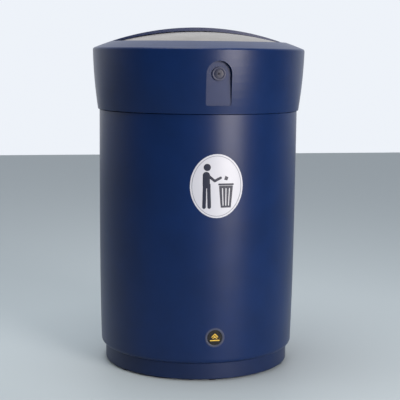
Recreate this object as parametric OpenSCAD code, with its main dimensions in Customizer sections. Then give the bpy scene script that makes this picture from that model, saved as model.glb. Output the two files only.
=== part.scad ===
// Round litter bin with a hinged, lockable hood, a sprung flap and a lift-out liner.
// Millimetres. +Z is up, the front faces -Y, and the origin is on the floor under the axis.

/* [Body] */
// Outer radius of the body at its shoulder
body_r = 265; // [220:1:320]
// Height of the shoulder above the floor
shoulder_z = 680; // [560:0.5:820]
// How much smaller the radius is at the foot of the body
body_draft = 5; // [1:0.5:8]
// Thickness of the body wall and floor
body_wall = 5; // [3:0.5:8]
// Radius of the rounded lower edge
body_round = 12; // [9:1:16]
// Step from the body's outside to the neck's outside
neck_step = 10; // [8:1:14]
// Height of the neck above the shoulder
neck_h = 43.5; // [35:0.5:55]

/* [Plinth] */
// Height of the plinth, with its glides
plinth_h = 46; // [40:1:60]
// How far the plinth stands in from the foot of the body
plinth_inset = 12; // [10:0.5:30]
// Thickness of the plinth's wall and deck
plinth_wall = 6; // [4:0.5:9]
// Thickness of the rubber glides below the plinth
glide_h = 3; // [2:0.5:5]
// Radius of the ballast plate
ballast_r = 200; // [165:1:215]
// Thickness of the ballast plate
ballast_h = 24; // [15:1:24]
// Radius of the circle that the base bolts stand on
base_bolt_circle = 150; // [125:1:160]
// Radius of the circle of ground anchor holes
anchor_circle = 105; // [80:1:115]
// Radius of a ground anchor hole
anchor_hole_r = 6.5; // [5:0.5:9]

/* [Hood] */
// Gap between the shoulder and the skirt
seam_gap = 1.5; // [1.5:0.5:5]
// Height of the skirt up to the crisp edge of the dome
skirt_h = 161.5; // [145:0.5:175]
// How far the skirt's lower edge stands out from the body
skirt_overhang = 4; // [1:0.5:6]
// How far the edge of the dome stands out from the body
dome_overhang = 13; // [9:0.5:18]
// How far the skirt bellies out between its two edges
skirt_belly = 2.5; // [0:0.5:6]
// Rise of the dome above its edge
dome_rise = 55; // [50:0.5:70]
// Radius of the rounded edge between skirt and dome
rim_round = 7; // [3:0.5:9]
// Thickness of the hood
hood_wall = 4; // [3:0.5:6]

/* [Mouth and flap] */
// Distance from the edge of the dome in to the lip of the mouth
mouth_margin = 45; // [40:1:60]
// Distance of the mouth's straight rear edge behind the axis
mouth_back = 0; // [-15:1:40]
// How far the flap reaches under the lip
flap_lap = 5; // [3:0.5:7]
// Clearance between the flap and the underside of the lip
flap_clear = 1.3; // [1:0.1:2]
// Drop from the crown of the dome to the crown of the flap
flap_drop = 11.5; // [9:0.5:15]
// Thickness of the flap
flap_t = 1.5; // [1:0.1:2.5]
// Radius of the flap rod
rod_r = 4; // [3:0.5:5]
// Distance of each flap bracket from the middle
bracket_x = 190; // [160:1:200]
// Distance of each flap arm from the middle
arm_x = 150; // [110:1:155]

/* [Lock] */
// Height of the lock above the skirt's lower edge
lock_up = 98.5; // [88:0.5:104]
// Width of the flat pad around the lock
pad_w = 64; // [50:1:75]
// Height of the pad's lower end above the skirt's lower edge
pad_up = 20.5; // [15:0.5:30]
// How far the pad stands back from the skirt at its lower end
pad_depth = 3.5; // [1:0.5:5]
// Radius of the lock's flange
lock_flange_r = 17.5; // [15:0.5:21]
// Radius of the turning plug's face
plug_face_r = 12; // [9:0.5:13]
// Reach of the lock cam from its axis
cam_reach = 32; // [28:1:34]

/* [Hinge] */
// Width of the hinge
hinge_w = 100; // [80:1:120]
// Height of each hinge leaf
leaf_h = 40; // [30:1:45]
// Radius of the hinge pin
hinge_pin_r = 2.5; // [2:0.5:3]

/* [Liner] */
// Clearance between the neck and the liner wall
liner_clear = 15; // [14.5:0.5:20]
// Height of the liner's top below the neck's top
liner_drop = 4; // [3:0.5:30]
// Thickness of the liner sheet
liner_t = 1; // [0.8:0.1:2]
// Height of the liner's bottom above the body floor
liner_foot = 12; // [10:0.5:20]
// Width of each hand slot
slot_w = 110; // [90:1:130]
// Height of each hand slot
slot_h = 32; // [28:1:40]

/* [Front trim] */
// Width of the oval label
label_w = 134; // [100:1:170]
// Height of the oval label
label_h = 160; // [120:1:200]
// Distance of the label's centre below the shoulder
label_drop = 177; // [120:1:260]
// Radius of the badge recess
badge_r = 25; // [18:0.5:28]
// Height of the badge's centre above the floor
badge_z = 116; // [90:1:160]

/* [Hidden] */
$fn = 96;

// Clearances and small amounts
rest_gap = 0.3;        // between a moving piece and its seat
run_clear = 0.05;      // radial clearance of a running fit
press_gap = 0.02;      // radial clearance of a fixed pin
cut = 1;               // how far a cut runs past a face
arc_steps = 6;         // segments in a small rounded corner
dome_steps = 16;       // segments in a dome's profile
skirt_steps = 8;       // segments in the skirt's profile
body_steps = 9;        // segments in the body's profile
label_steps = 4;       // segments in the label's profile

// Body
foot_r = body_r - body_draft;
body_low_z = plinth_h + body_round;
shoulder_round = 1.5;
foot_curve = 4;        // how soon the draft fades out above the foot
floor_z = plinth_h + body_wall;
neck_r = body_r - neck_step;
neck_in_r = neck_r - body_wall;
neck_top_z = shoulder_z + neck_h;
neck_round = 1.5;

// Plinth
plinth_r = foot_r - plinth_inset;
plinth_plate_z = plinth_h - plinth_wall;
plinth_flange = 26;
plinth_flange_h = 5;
deck_gap = 0.1;
glide_r = 10;
glide_circle = plinth_r - plinth_flange / 2;
glide_count = 6;
base_bolt_r = 5;
base_bolt_head_r = 10;
base_bolt_head_h = 5;
base_bolt_count = 4;
washer_h = 2;
washer_r = 10.5;
nut_h = 8;
nut_r = 9.8;
thread_end = 2;
ballast_z = plinth_plate_z - ballast_h;
anchor_count = 4;

// Hood profile
skirt_z = shoulder_z + seam_gap;
skirt_r = body_r + skirt_overhang;
dome_edge_r = body_r + dome_overhang;
dome_edge_z = skirt_z + skirt_h;
crown_z = dome_edge_z + dome_rise;
dome_R = (dome_edge_r * dome_edge_r + dome_rise * dome_rise) / (2 * dome_rise);
dome_slope = asin(dome_edge_r / dome_R);
rim_centre = [dome_edge_r - rim_round * sin(dome_slope), dome_edge_z - rim_round * cos(dome_slope)];
skirt_top_r = rim_centre[0] + rim_round;
skirt_top_z = rim_centre[1];
skirt_edge_round = 2;

// Mouth and flap
mouth_r = dome_edge_r - mouth_margin;
flap_r = mouth_r + flap_lap;
flap_rear_gap = 5;
flap_back = mouth_back - flap_rear_gap;
flap_edge_z = cap_z(dome_R - hood_wall, crown_z - hood_wall, flap_r) - flap_clear;
flap_crown_z = crown_z - flap_drop;
flap_rise = flap_crown_z - flap_edge_z;
flap_R = (flap_r * flap_r + flap_rise * flap_rise) / (2 * flap_rise);
rib_w = 5;
rib_clear = 2;
rib_half = mouth_r - 30;
seal_w = 4;
seal_h = 0.9;
seal_gap = 0.1;

// Flap pivot
rod_y = mouth_back + 1;
rod_z = crown_z - 68;
rod_end = 8;
bracket_t = 3;
bracket_half = 18;
bracket_y0 = rod_y + 6;
bracket_len = 38;
bracket_top_z = rod_z + 14;
bracket_front = 12;
bracket_low = 10;
boss_margin = 2;
bush_r = 6.5;
bush_flange_r = 9;
bush_flange_t = 1.5;
bracket_screw_x = 10;
arm_t = 3;
arm_front = 76;
arm_hub = 9;
clip_r = 7;
clip_t = 1.2;
spring_wire_r = 1;
spring_r = 7.5;
spring_turns = 6;
spring_gap = 4;
spring_steps = 12;
spring_sides = 5;
spring_leg_r = bush_flange_r + 3;

// Lock
lock_z = skirt_z + lock_up;
pad_z = skirt_z + pad_up;
pad_corner = 6;
pad_y = pad_depth - skirt_at(pad_z);
pad_t = 6;
pad_border = 4;
lock_barrel_r = 10.5;
lock_flange_t = 2.5;
plug_r = 8;
lock_back_y = -(neck_in_r - 5);
plug_face_t = 1.2;
key_r = 3.5;
key_depth = 5;
lock_nut_r = 15.6;
lock_nut_t = 6;
cam_t = 3;
cam_w = 16;
cam_screw_r = 5;
cam_screw_t = 2.8;
cam_play = 0.5;

// Keeper
keeper_x = 18;
keeper_w = 12;
keeper_t = 2.5;
keeper_y = -(neck_in_r - 2);
keeper_low_z = shoulder_z + 11;
keeper_clear = 1.5;
keeper_top_z = lock_z + cam_w / 2 + keeper_clear + keeper_t;
keeper_tab = 7;
keeper_pad_z = shoulder_z + 6;
keeper_screw_r = 2;
keeper_head_r = 3.5;
keeper_head_t = 1.8;
keeper_screw_len = 5;

// Hinge
hinge_face_y = body_r + 6;
leaf_t = 2.5;
knuckle_r = 4.5;
hinge_y = hinge_face_y + knuckle_r;
hinge_z = shoulder_z + seam_gap / 2;
knuckles = 5;
knuckle_gap = 0.4;
knuckle_pitch = hinge_w / knuckles;
leaf_clear = 1;
hinge_pad_margin = 4;
hinge_pad_in = 13;
leaf_screw_x = hinge_w / 2 - 14;
leaf_screw_dz = leaf_h / 2 - 10;
hinge_screw_r = 2;
hinge_head_r = 4;
hinge_head_t = 2;
hinge_screw_len = 11;
pin_head = 1.5;
body_leaf_top_z = hinge_z - knuckle_r - leaf_clear;
hood_leaf_low_z = hinge_z + knuckle_r + leaf_clear;
body_pad_top_z = body_leaf_top_z - 1.5;
hood_pad_low_z = hinge_z + 4;

// Liner
liner_r = neck_in_r - liner_clear;
liner_low_z = floor_z + rest_gap;
liner_rim_r = 3.5;
liner_rim_out = 1.5;
liner_top_z = neck_top_z - liner_drop;
liner_rim_z = liner_top_z - liner_rim_r;
liner_bottom_z = floor_z + liner_foot;
liner_flange = 8;
bottom_gap = 0.1;
slot_z = liner_top_z - 46;
grip_border = 6;
grip_lip = 3;
grip_t = 1.5;

// Buffers
buffer_count = 4;
buffer_angle = 6;
buffer_in = 1.5;
buffer_out = 0.5;

// Front trim
label_z = shoulder_z - label_drop;
label_gap = 0.1;
label_t = 0.4;
badge_depth = 2.5;
badge_ring_w = 5;
badge_ring_h = 2;
badge_disc_h = 1.4;
badge_gap = 0.2;

function cap_z(big_r, top, r) = top - big_r + sqrt(big_r * big_r - r * r);
function skirt_share(z) = (z - skirt_z) / (skirt_top_z - skirt_z);
function skirt_at(z) =
    let (t = skirt_share(z))
    skirt_r + (skirt_top_r - skirt_r) * t + skirt_belly * 4 * t * (1 - t);
function body_share(z) =
    min(1, max(0, (z - body_low_z) / (shoulder_z - shoulder_round - body_low_z)));
function body_at(z) = foot_r + body_draft * (1 - pow(1 - body_share(z), foot_curve));
function body_side(inset) = [for (i = [1:body_steps - 1])
    let (z = body_low_z + (shoulder_z - shoulder_round - body_low_z) * pow(i / body_steps, 1.5))
    [body_at(z) - inset, z]];
function turned(list) = [for (i = [len(list) - 1:-1:0]) list[i]];
function arc(centre, r, from, to) = [for (i = [0:arc_steps])
    let (a = from + (to - from) * i / arc_steps)
    [centre[0] + r * cos(a), centre[1] + r * sin(a)]];

// Solid of revolution inside the hood's outer surface moved in by inset, open down to low_z
module hood_solid(inset, low_z) {
    skirt = [for (i = [0:skirt_steps])
        let (z = skirt_z + (skirt_top_z - skirt_z) * i / skirt_steps)
        [skirt_at(z) - inset, z]];
    rim = arc(rim_centre, rim_round - min(inset, rim_round - 0.5), 5, 90 - dome_slope - 2);
    edge_a = 90 - dome_slope;
    dome = [for (i = [0:dome_steps])
        let (a = edge_a + (90 - edge_a) * i / dome_steps)
        [(dome_R - inset) * cos(a), crown_z - dome_R + (dome_R - inset) * sin(a)]];
    low = low_z < skirt_z ? [[0, low_z], [skirt_r - inset, low_z]] : [[0, skirt_z]];
    body = inset < rim_round - 1 ? concat(low, skirt, rim, dome) : concat(low, skirt, dome);
    rotate_extrude() polygon(body);
}

// Outline of the lock pad, drawn in X and Z, with a round top and two rounded lower corners
module pad_outline(grow) {
    half = pad_w / 2 + grow;
    low = pad_z - grow;
    translate([0, lock_z]) circle(half);
    translate([-half, low + pad_corner]) square([2 * half, lock_z - low - pad_corner]);
    translate([-half + pad_corner, low]) square([2 * (half - pad_corner), 2 * pad_corner]);
    for (s = [-1, 1])
        translate([s * (half - pad_corner), low + pad_corner]) circle(pad_corner);
}

// Extrudes an outline drawn in X and Z along Y, from y0 to y1
module along_y(y0, y1) {
    translate([0, y1, 0]) rotate([90, 0, 0]) linear_extrude(y1 - y0) children();
}

// Extrudes an outline drawn in Y and Z along X, from x0 to x1
module along_x(x0, x1) {
    translate([x0, 0, 0]) rotate([90, 0, 90]) linear_extrude(x1 - x0) children();
}

// Cylinder along Y from y0 to y1
module rod_y(r, y0, y1, x = 0, z = 0) {
    translate([x, y0, z]) rotate([-90, 0, 0]) cylinder(r = r, h = y1 - y0);
}

// Cylinder along X from x0 to x1
module rod_x(r, x0, x1, y, z) {
    translate([x0, y, z]) rotate([0, 90, 0]) cylinder(r = r, h = x1 - x0);
}

module round_pattern(count, circle_r, turn = 0) {
    for (i = [0:count - 1])
        rotate(turn + 360 * i / count) translate([circle_r, 0, 0]) children();
}

// ---- Body and plinth ----

module body_profile() {
    centre = [foot_r - body_round, body_low_z];
    polygon(concat(
        [[0, plinth_h]],
        arc(centre, body_round, -90, 0),
        body_side(0),
        arc([body_r - shoulder_round, shoulder_z - shoulder_round], shoulder_round, 0, 90),
        [[neck_r, shoulder_z]],
        arc([neck_r - neck_round, neck_top_z - neck_round], neck_round, 0, 90),
        arc([neck_in_r + neck_round, neck_top_z - neck_round], neck_round, 90, 180),
        [[neck_in_r, shoulder_z - body_wall],
         [body_r - body_wall, shoulder_z - body_wall]],
        turned(body_side(body_wall)),
        arc(centre, body_round - body_wall, 0, -90),
        [[0, floor_z]]));
}

module body_hinge_pad() {
    low = body_leaf_top_z - leaf_h - hinge_pad_margin;
    half = hinge_w / 2 + hinge_pad_margin;
    translate([-half, hinge_face_y - hinge_pad_in, low])
        cube([2 * half, hinge_pad_in, body_pad_top_z - low]);
}

module keeper_pad() {
    translate([keeper_x - 4, -neck_r + 1, keeper_pad_z])
        cube([keeper_w + 8, keeper_y + neck_r - 1, neck_top_z - keeper_pad_z - 2]);
}

module body_shell() {
    color("#14284f") difference() {
        union() {
            rotate_extrude() body_profile();
            body_hinge_pad();
            keeper_pad();
        }
        rod_y(badge_r, -body_r - cut, -body_at(badge_z) + badge_depth, 0, badge_z);
        round_pattern(base_bolt_count, base_bolt_circle, 45)
            translate([0, 0, plinth_h - cut]) cylinder(r = base_bolt_r + run_clear, h = body_wall + 2 * cut);
        round_pattern(anchor_count, anchor_circle)
            translate([0, 0, plinth_h - cut]) cylinder(r = anchor_hole_r, h = body_wall + 2 * cut);
        leaf_screw_places(body_leaf_top_z - leaf_h / 2)
            rod_y(hinge_screw_r, hinge_face_y - hinge_screw_len, hinge_face_y + cut);
        keeper_screw_places()
            rod_y(keeper_screw_r, keeper_y - keeper_screw_len, keeper_y + cut);
    }
}

module base_plinth() {
    low = glide_h;
    inner = plinth_r - plinth_wall;
    color("#14284f") rotate_extrude() polygon(concat(
        [[inner, plinth_h], [inner, low + plinth_flange_h],
         [plinth_r - plinth_flange, low + plinth_flange_h], [plinth_r - plinth_flange, low]],
        arc([plinth_r - 3, low + 3], 3, -90, 0),
        [[plinth_r, plinth_h]]));
}

module base_deck() {
    color("#1b1b1c") difference() {
        translate([0, 0, plinth_plate_z]) cylinder(r = plinth_r - plinth_wall - deck_gap, h = plinth_wall);
        round_pattern(base_bolt_count, base_bolt_circle, 45)
            translate([0, 0, plinth_plate_z - cut]) cylinder(r = base_bolt_r + run_clear, h = plinth_wall + 2 * cut);
        round_pattern(anchor_count, anchor_circle)
            translate([0, 0, plinth_plate_z - cut]) cylinder(r = anchor_hole_r, h = plinth_wall + 2 * cut);
    }
}

module ballast_plate() {
    color("#3c3e40") difference() {
        translate([0, 0, ballast_z]) cylinder(r = ballast_r, h = ballast_h);
        round_pattern(base_bolt_count, base_bolt_circle, 45)
            translate([0, 0, ballast_z - cut]) cylinder(r = base_bolt_r + run_clear, h = ballast_h + 2 * cut);
        round_pattern(anchor_count, anchor_circle)
            translate([0, 0, ballast_z - cut]) cylinder(r = anchor_hole_r, h = ballast_h + 2 * cut);
    }
}

module base_bolts() {
    end_z = ballast_z - washer_h - nut_h - thread_end;
    color("#b9bcc0") round_pattern(base_bolt_count, base_bolt_circle, 45) rotate_extrude() polygon(concat(
        [[0, end_z], [base_bolt_r, end_z], [base_bolt_r, floor_z], [base_bolt_head_r, floor_z]],
        [[base_bolt_head_r, floor_z + 1.5], [base_bolt_head_r * 0.8, floor_z + 3.6],
         [base_bolt_head_r * 0.45, floor_z + base_bolt_head_h - 0.3], [0, floor_z + base_bolt_head_h]]));
}

module base_washers() {
    color("#b9bcc0") round_pattern(base_bolt_count, base_bolt_circle, 45)
        translate([0, 0, ballast_z - washer_h]) difference() {
            cylinder(r = washer_r, h = washer_h);
            translate([0, 0, -cut]) cylinder(r = base_bolt_r + run_clear, h = washer_h + 2 * cut);
        }
}

module base_nuts() {
    color("#b9bcc0") round_pattern(base_bolt_count, base_bolt_circle, 45)
        translate([0, 0, ballast_z - washer_h - nut_h]) difference() {
            cylinder(r = nut_r, h = nut_h, $fn = 6);
            translate([0, 0, -cut]) cylinder(r = base_bolt_r + press_gap, h = nut_h + 2 * cut);
        }
}

module rubber_glides() {
    color("#1b1b1c") round_pattern(glide_count, glide_circle, 30) cylinder(r = glide_r, h = glide_h);
}

module hood_buffers() {
    r0 = neck_r + buffer_in;
    r1 = body_r - buffer_out;
    color("#1b1b1c") for (i = [0:buffer_count - 1])
        rotate(45 + 360 * i / buffer_count - buffer_angle / 2)
            rotate_extrude(angle = buffer_angle)
                translate([r0, shoulder_z]) square([r1 - r0 - shoulder_round, seam_gap - rest_gap]);
}

// ---- Keeper ----

module keeper_screw_places() {
    for (up = [8, 24]) translate([keeper_x + keeper_w / 2, 0, keeper_low_z + up]) children();
}

module keeper_bracket() {
    color("#b9bcc0") difference() {
        union() {
            translate([keeper_x, keeper_y, keeper_low_z])
                cube([keeper_w, keeper_t, keeper_top_z - keeper_low_z]);
            translate([keeper_x, keeper_y, keeper_top_z - keeper_t])
                cube([keeper_w, keeper_tab, keeper_t]);
        }
        keeper_screw_places()
            rod_y(keeper_screw_r + press_gap, keeper_y - cut, keeper_y + keeper_t + cut);
    }
}

module keeper_screws() {
    head_y = keeper_y + keeper_t;
    color("#c8cacd") keeper_screw_places() union() {
        rod_y(keeper_screw_r, keeper_y - keeper_screw_len, head_y + 0.5);
        rod_y(keeper_head_r, head_y, head_y + keeper_head_t);
    }
}

// ---- Hinge ----

module leaf_screw_places(mid_z) {
    for (sx = [-1, 1], sz = [-1, 1])
        translate([sx * leaf_screw_x, 0, mid_z + sz * leaf_screw_dz]) children();
}

module leaf_knuckles(first) {
    for (i = [first:2:knuckles - 1]) {
        x0 = -hinge_w / 2 + i * knuckle_pitch + knuckle_gap / 2;
        rod_x(knuckle_r, x0, x0 + knuckle_pitch - knuckle_gap, hinge_y, hinge_z);
    }
}

module leaf_webs(first, z0, z1) {
    for (i = [first:2:knuckles - 1])
        translate([-hinge_w / 2 + i * knuckle_pitch + knuckle_gap / 2, hinge_face_y, z0])
            cube([knuckle_pitch - knuckle_gap, leaf_t, z1 - z0]);
}

module hinge_body_leaf() {
    color("#b9bcc0") difference() {
        union() {
            translate([-hinge_w / 2, hinge_face_y, body_leaf_top_z - leaf_h])
                cube([hinge_w, leaf_t, leaf_h]);
            leaf_webs(0, body_leaf_top_z - cut, hinge_z);
            leaf_knuckles(0);
        }
        rod_x(hinge_pin_r + press_gap, -hinge_w, hinge_w, hinge_y, hinge_z);
        leaf_screw_places(body_leaf_top_z - leaf_h / 2)
            rod_y(hinge_screw_r + press_gap, hinge_face_y - cut, hinge_face_y + leaf_t + cut);
    }
}

module hinge_hood_leaf() {
    color("#b9bcc0") difference() {
        union() {
            translate([-hinge_w / 2, hinge_face_y, hood_leaf_low_z]) cube([hinge_w, leaf_t, leaf_h]);
            leaf_webs(1, hinge_z, hood_leaf_low_z + cut);
            leaf_knuckles(1);
        }
        rod_x(hinge_pin_r + run_clear, -hinge_w, hinge_w, hinge_y, hinge_z);
        leaf_screw_places(hood_leaf_low_z + leaf_h / 2)
            rod_y(hinge_screw_r + press_gap, hinge_face_y - cut, hinge_face_y + leaf_t + cut);
    }
}

module hinge_pin() {
    half = hinge_w / 2;
    color("#c8cacd") union() {
        rod_x(hinge_pin_r, -half - 1, half + 1, hinge_y, hinge_z);
        for (s = [-1, 1])
            rod_x(hinge_pin_r + 1.5, s * (half + 1 + pin_head / 2) - pin_head / 2,
                s * (half + 1 + pin_head / 2) + pin_head / 2, hinge_y, hinge_z);
    }
}

module leaf_screws(mid_z) {
    head_y = hinge_face_y + leaf_t;
    color("#c8cacd") leaf_screw_places(mid_z) union() {
        rod_y(hinge_screw_r, hinge_face_y - hinge_screw_len, head_y + 0.5);
        rod_y(hinge_head_r, head_y, head_y + hinge_head_t);
    }
}

module body_hinge_screws() { leaf_screws(body_leaf_top_z - leaf_h / 2); }

module hood_hinge_screws() { leaf_screws(hood_leaf_low_z + leaf_h / 2); }

// ---- Label and badge ----

module oval_label() {
    oval = [for (a = [0:7.5:352.5]) [label_w / 2 * cos(a), label_z + label_h / 2 * sin(a)]];
    heights = [for (i = [0:label_steps]) label_z + label_h * (1.2 * i / label_steps - 0.6)];
    under = [for (z = heights) [body_at(z) + label_gap, z]];
    color("#f2f3f5") intersection() {
        rotate_extrude() polygon(concat(under, turned([for (p = under) [p[0] + label_t, p[1]]])));
        along_y(-body_r - 10, 0) polygon(oval);
    }
}

module badge_bezel() {
    floor_y = -body_at(badge_z) + badge_depth;
    color("#2b3550") difference() {
        rod_y(badge_r - badge_gap, floor_y - badge_ring_h, floor_y, 0, badge_z);
        rod_y(badge_r - badge_gap - badge_ring_w, floor_y - badge_ring_h - cut, floor_y + cut, 0, badge_z);
    }
}

module badge_disc() {
    floor_y = -body_at(badge_z) + badge_depth;
    color("#0b0b0c") rod_y(badge_r - badge_gap - badge_ring_w - 0.1, floor_y - badge_disc_h, floor_y, 0, badge_z);
}

// ---- Hood ----

module mouth_cut() {
    intersection() {
        translate([0, 0, skirt_z]) cylinder(r = mouth_r, h = crown_z);
        translate([-mouth_r - cut, -mouth_r - cut, skirt_z])
            cube([2 * (mouth_r + cut), mouth_r + cut + mouth_back, crown_z]);
    }
}

// Blocks under the roof that carry the flap brackets
module bracket_bosses() {
    half = bracket_half + boss_margin;
    intersection() {
        hood_solid(hood_wall / 2, skirt_z);
        for (s = [-1, 1])
            translate([s * bracket_x - half, bracket_y0 - boss_margin, bracket_top_z])
                cube([2 * half, bracket_len + 2 * boss_margin, crown_z - bracket_top_z]);
    }
}

// Rib that stiffens the roof's front edge, just behind and above the flap
module roof_rib() {
    intersection() {
        hood_solid(hood_wall / 2, skirt_z);
        difference() {
            translate([-rib_half, mouth_back, flap_edge_z]) cube([2 * rib_half, rib_w, crown_z - flap_edge_z]);
            flap_cap(flap_crown_z + rib_clear, flap_R, flap_r + 20, 60);
        }
    }
}

module lock_block() {
    intersection() {
        hood_solid(hood_wall / 2, skirt_z);
        along_y(-skirt_top_r, pad_y + pad_t) pad_outline(pad_border);
    }
    along_y(pad_y, pad_y + pad_t) pad_outline(0);
}

module hood_hinge_block() {
    half = hinge_w / 2 + hinge_pad_margin;
    translate([-half, hinge_face_y - hinge_pad_in + 1, hood_pad_low_z])
        cube([2 * half, hinge_pad_in - 1, hood_leaf_low_z + leaf_h + hinge_pad_margin - hood_pad_low_z]);
}

module hood_shell() {
    half = hinge_w / 2 + hinge_pad_margin;
    color("#14284f") difference() {
        union() {
            difference() {
                hood_solid(0, skirt_z);
                hood_solid(hood_wall, skirt_z - cut);
            }
            lock_block();
            hood_hinge_block();
            bracket_bosses();
            roof_rib();
        }
        mouth_cut();
        along_y(-skirt_top_r - 20, pad_y) pad_outline(0);
        translate([-half, hinge_face_y, skirt_z - cut])
            cube([2 * half, 30, hood_leaf_low_z + leaf_h + hinge_pad_margin - skirt_z + cut]);
        rod_y(lock_barrel_r + run_clear, pad_y - cut, pad_y + pad_t + cut, 0, lock_z);
        leaf_screw_places(hood_leaf_low_z + leaf_h / 2)
            rod_y(hinge_screw_r, hinge_face_y - hinge_screw_len, hinge_face_y + cut);
        bracket_screw_places()
            translate([0, 0, bracket_top_z - cut]) cylinder(r = 2, h = 12 + cut);
    }
}

module flap_seal() {
    r0 = mouth_r;
    inner_R = dome_R - hood_wall;
    top = crown_z - hood_wall - seal_gap;
    sweep = 90 + asin(mouth_back / (mouth_r + seal_w)) - 4;
    r_a = r0 + 0.5;
    r_b = r0 + seal_w;
    color("#151516") rotate(-90 - sweep) rotate_extrude(angle = 2 * sweep) polygon([
        [r_a, cap_z(inner_R, top, r_a) - seal_h], [r_b, cap_z(inner_R, top, r_b) - seal_h],
        [r_b, cap_z(inner_R, top, r_b)], [r_a, cap_z(inner_R, top, r_a)]]);
}

// ---- Lock ----

module lock_housing() {
    color("#3a4258") difference() {
        union() {
            rod_y(lock_flange_r, pad_y - lock_flange_t, pad_y, 0, lock_z);
            rod_y(lock_barrel_r, pad_y - cut, lock_back_y, 0, lock_z);
        }
        rod_y(plug_face_r + run_clear, pad_y - lock_flange_t - cut, pad_y - lock_flange_t + plug_face_t, 0, lock_z);
        rod_y(plug_r + run_clear, pad_y - lock_flange_t - cut, lock_back_y + cut, 0, lock_z);
    }
}

module lock_nut() {
    inner_y = pad_y + pad_t;
    color("#b9bcc0") difference() {
        translate([0, inner_y, lock_z]) rotate([-90, 0, 0]) cylinder(r = lock_nut_r, h = lock_nut_t, $fn = 6);
        rod_y(lock_barrel_r + press_gap, inner_y - cut, inner_y + lock_nut_t + cut, 0, lock_z);
    }
}

module lock_plug() {
    face_y = pad_y - lock_flange_t;
    color("#39415a") difference() {
        union() {
            rod_y(plug_face_r, face_y, face_y + plug_face_t, 0, lock_z);
            rod_y(plug_r, face_y + cut, lock_back_y + cam_play, 0, lock_z);
        }
        translate([0, face_y - cut, lock_z]) rotate([-90, 0, 0])
            cylinder(r = key_r, h = key_depth + cut, $fn = 3);
        rod_y(2.5, lock_back_y - 8, lock_back_y + 2, 0, lock_z);
    }
}

module lock_cam() {
    y0 = lock_back_y + cam_play;
    color("#b9bcc0") difference() {
        along_y(y0, y0 + cam_t) union() {
            translate([0, lock_z]) circle(cam_w / 2);
            translate([-cam_w / 2, lock_z - cam_reach]) square([cam_w, cam_reach]);
        }
        rod_y(2.5, y0 - cut, y0 + cam_t + cut, 0, lock_z);
    }
}

module cam_screw() {
    y0 = lock_back_y + cam_play + cam_t;
    color("#c8cacd") union() {
        rod_y(2.5, lock_back_y - 7, y0 + 0.5, 0, lock_z);
        rod_y(cam_screw_r, y0, y0 + cam_screw_t, 0, lock_z);
    }
}

// ---- Flap and its pivot ----

// Solid under a shallow cap of radius big_r whose crown is at top, down by depth
module flap_cap(top, big_r, out_r, depth) {
    edge_a = acos(out_r / big_r);
    cap = [for (i = [0:dome_steps])
        let (a = edge_a + (90 - edge_a) * i / dome_steps)
        [big_r * cos(a), top - big_r + big_r * sin(a)]];
    low = top - big_r + sqrt(big_r * big_r - out_r * out_r) - depth;
    rotate_extrude() polygon(concat([[0, low], [out_r, low]], cap));
}

module flap_panel() {
    edge_a = acos(flap_r / flap_R);
    top = [for (i = [0:dome_steps])
        let (a = edge_a + (90 - edge_a) * i / dome_steps)
        [flap_R * cos(a), flap_crown_z - flap_R + flap_R * sin(a)]];
    under = [for (i = [dome_steps:-1:0])
        let (a = edge_a + (90 - edge_a) * i / dome_steps)
        [(flap_R - flap_t) * cos(a), flap_crown_z - flap_R + (flap_R - flap_t) * sin(a)]];
    color("#c9c4bb") difference() {
        rotate_extrude() polygon(concat(top, under));
        translate([-flap_r - cut, flap_back, 0]) cube([2 * (flap_r + cut), 2 * flap_r, crown_z]);
    }
}

module flap_arm(s) {
    difference() {
        intersection() {
            along_x(s * arm_x - arm_t / 2, s * arm_x + arm_t / 2) union() {
                polygon([[rod_y - arm_front, crown_z], [flap_back - 1, crown_z],
                    [flap_back - 1, rod_z + 2 * arm_hub], [rod_y + arm_hub - 1, rod_z + 3],
                    [rod_y - arm_hub + 1, rod_z - 3], [rod_y - arm_front, rod_z + 3 * arm_hub]]);
                translate([rod_y, rod_z]) circle(arm_hub);
            }
            flap_cap(flap_crown_z - flap_t, flap_R - flap_t, flap_r, 60);
        }
        rod_x(rod_r + press_gap, s * arm_x - arm_t, s * arm_x + arm_t, rod_y, rod_z);
    }
}

module flap_arms() {
    color("#b9bcc0") for (s = [-1, 1]) flap_arm(s);
}

module flap_rod() {
    color("#c8cacd") rod_x(rod_r, -bracket_x - rod_end, bracket_x + rod_end, rod_y, rod_z);
}

module bracket_screw_places() {
    for (s = [-1, 1], d = [-1, 1])
        translate([s * bracket_x + d * bracket_screw_x, bracket_y0 + bracket_len / 2, 0]) children();
}

module flap_bracket(s) {
    x0 = s * bracket_x - bracket_t / 2;
    color("#b9bcc0") difference() {
        union() {
            along_x(x0, x0 + bracket_t) polygon([
                [rod_y - bracket_front, rod_z - bracket_low], [rod_y - bracket_front, rod_z + bracket_low],
                [bracket_y0, bracket_top_z], [bracket_y0 + bracket_len, bracket_top_z],
                [bracket_y0 + bracket_len, bracket_top_z - 8], [rod_y + bracket_front, rod_z - bracket_low]]);
            translate([s * bracket_x - bracket_half, bracket_y0, bracket_top_z - bracket_t])
                cube([2 * bracket_half, bracket_len, bracket_t]);
        }
        rod_x(bush_r, x0 - cut, x0 + bracket_t + cut, rod_y, rod_z);
        bracket_screw_places()
            translate([0, 0, bracket_top_z - bracket_t - cut]) cylinder(r = 2 + press_gap, h = bracket_t + 2 * cut);
    }
}

module flap_bracket_left() { flap_bracket(-1); }

module flap_bracket_right() { flap_bracket(1); }

module flap_bracket_screws() {
    low = bracket_top_z - bracket_t;
    color("#c8cacd") bracket_screw_places() union() {
        translate([0, 0, low - 0.5]) cylinder(r = 2, h = bracket_t + 12);
        translate([0, 0, low - 2.2]) cylinder(r = 3.8, h = 2.2);
    }
}

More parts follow.
